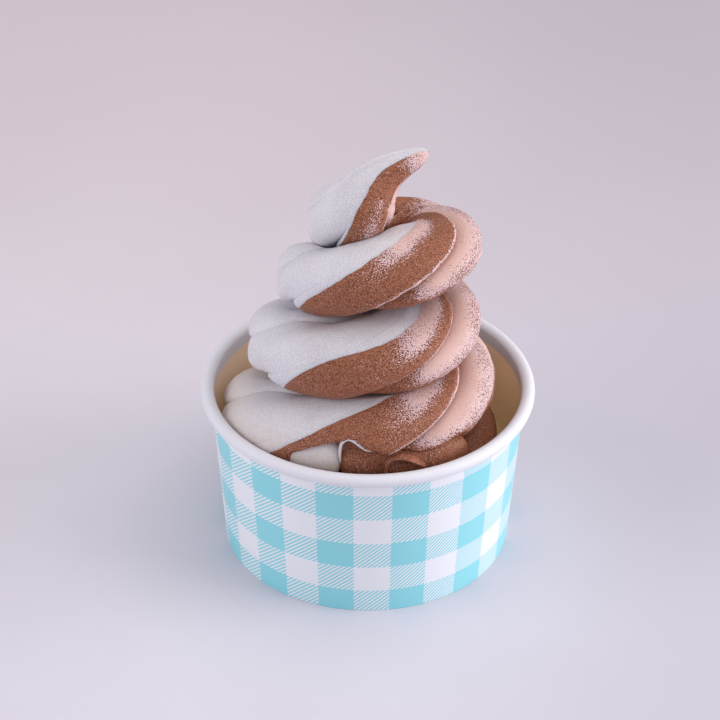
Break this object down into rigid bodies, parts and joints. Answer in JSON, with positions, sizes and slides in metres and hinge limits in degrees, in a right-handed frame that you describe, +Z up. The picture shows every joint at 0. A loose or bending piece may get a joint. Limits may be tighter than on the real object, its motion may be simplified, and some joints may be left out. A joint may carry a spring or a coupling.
{
  "type": "twist soft serve cup",
  "caption": "Twist of vanilla and chocolate soft serve piled in a coiled, ridged swirl with a leaning tip, in a tapered paper cup with a rolled rim and gingham print.",
  "frame": {"origin": "on the cup's axis, on the surface that the cup stands on", "axes": "+Z up along the cup's axis, -Y towards the front, where vanilla shows at the left and chocolate at the right"},
  "size_m": [0.095, 0.095, 0.1274],
  "materials": {
    "printed_paper": "satin",
    "plain_paper": "satin",
    "vanilla_soft_serve": "matte",
    "chocolate_soft_serve": "matte"
  },
  "bodies": {
    "root": {"cup_wall": "printed_paper", "cup_floor": "plain_paper", "vanilla": "vanilla_soft_serve", "chocolate": "chocolate_soft_serve"}
  },
  "joints": []
}
